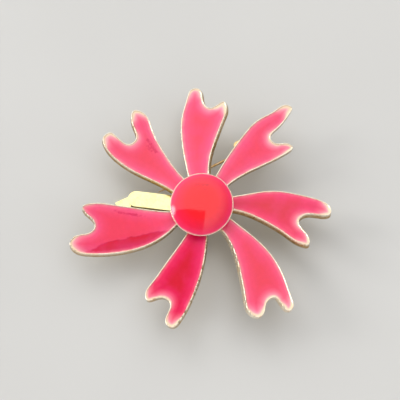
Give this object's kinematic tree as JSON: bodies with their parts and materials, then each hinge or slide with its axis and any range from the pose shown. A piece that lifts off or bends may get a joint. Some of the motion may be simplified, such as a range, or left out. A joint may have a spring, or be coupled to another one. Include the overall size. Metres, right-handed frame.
{
  "type": "flower hair clip",
  "caption": "Enamelled metal flower with forked petals and a round centre button, on a small spring hair clip with a brooch pin beside it.",
  "frame": {"origin": "on the flower's axis, in the plane of the clip lower jaw's flat underside", "axes": "+Z out of the flower's face, along the flower's axis; +X along the clip, away from its nose; +Y across the clip"},
  "size_m": [0.067, 0.0689, 0.0123],
  "materials": {
    "petal_metal": "gold-tone plating, worn at the edges",
    "petal_enamel": "glossy translucent pink-coral enamel, paler at the rim",
    "button_enamel": "glossy red enamel",
    "clip_metal": "bright pale gold plating",
    "spring_steel": "drawn spring wire",
    "pin_metal": "dull gold plating",
    "pin_steel": "smooth wire with a worn gold wash"
  },
  "bodies": {
    "flower_head": {"petal_1_tray": "petal_metal", "petal_1_enamel": "petal_enamel", "petal_2_tray": "petal_metal", "petal_2_enamel": "petal_enamel", "petal_3_tray": "petal_metal", "petal_3_enamel": "petal_enamel", "petal_4_tray": "petal_metal", "petal_4_enamel": "petal_enamel", "petal_5_tray": "petal_metal", "petal_5_enamel": "petal_enamel", "petal_6_tray": "petal_metal", "petal_6_enamel": "petal_enamel", "petal_7_tray": "petal_metal", "petal_7_enamel": "petal_enamel", "hub_disc": "petal_metal", "centre_rivet": "petal_metal", "centre_button_cup": "petal_metal", "centre_button_enamel": "button_enamel", "clip_upper_jaw": "clip_metal", "clip_hinge_pin": "clip_metal", "clip_spring": "spring_steel", "pin_bracket": "pin_metal", "pin_rivet": "pin_metal", "pin_catch": "pin_metal"},
    "lower_jaw": {"clip_lower_jaw": "clip_metal"},
    "pin_stem": {"pin_stem": "pin_steel"},
    "lock_collar": {"pin_catch_collar": "pin_metal"}
  },
  "joints": [
    {"name": "jaw_hinge", "type": "hinge", "parent": "flower_head", "child": "lower_jaw", "pos_m": [-0.0015, 0.001, 0.00295], "axis": [0, -1, 0], "range_deg": [0, 27], "stiffness_Nm_per_rad": 0.12, "springref_deg": -28.65, "deforming": ["clip_spring"]},
    {"name": "pin_swing", "type": "hinge", "parent": "flower_head", "child": "pin_stem", "pos_m": [0.0098, 0.01936, 0.0052], "axis": [0.5745, -0.8185, 0], "range_deg": [0, 75]},
    {"name": "collar_turn", "type": "hinge", "parent": "flower_head", "child": "lock_collar", "pos_m": [-0.00919, 0.00603, 0.0052], "axis": [-0.8185, -0.5745, 0], "range_deg": [0, 132]}
  ]
}
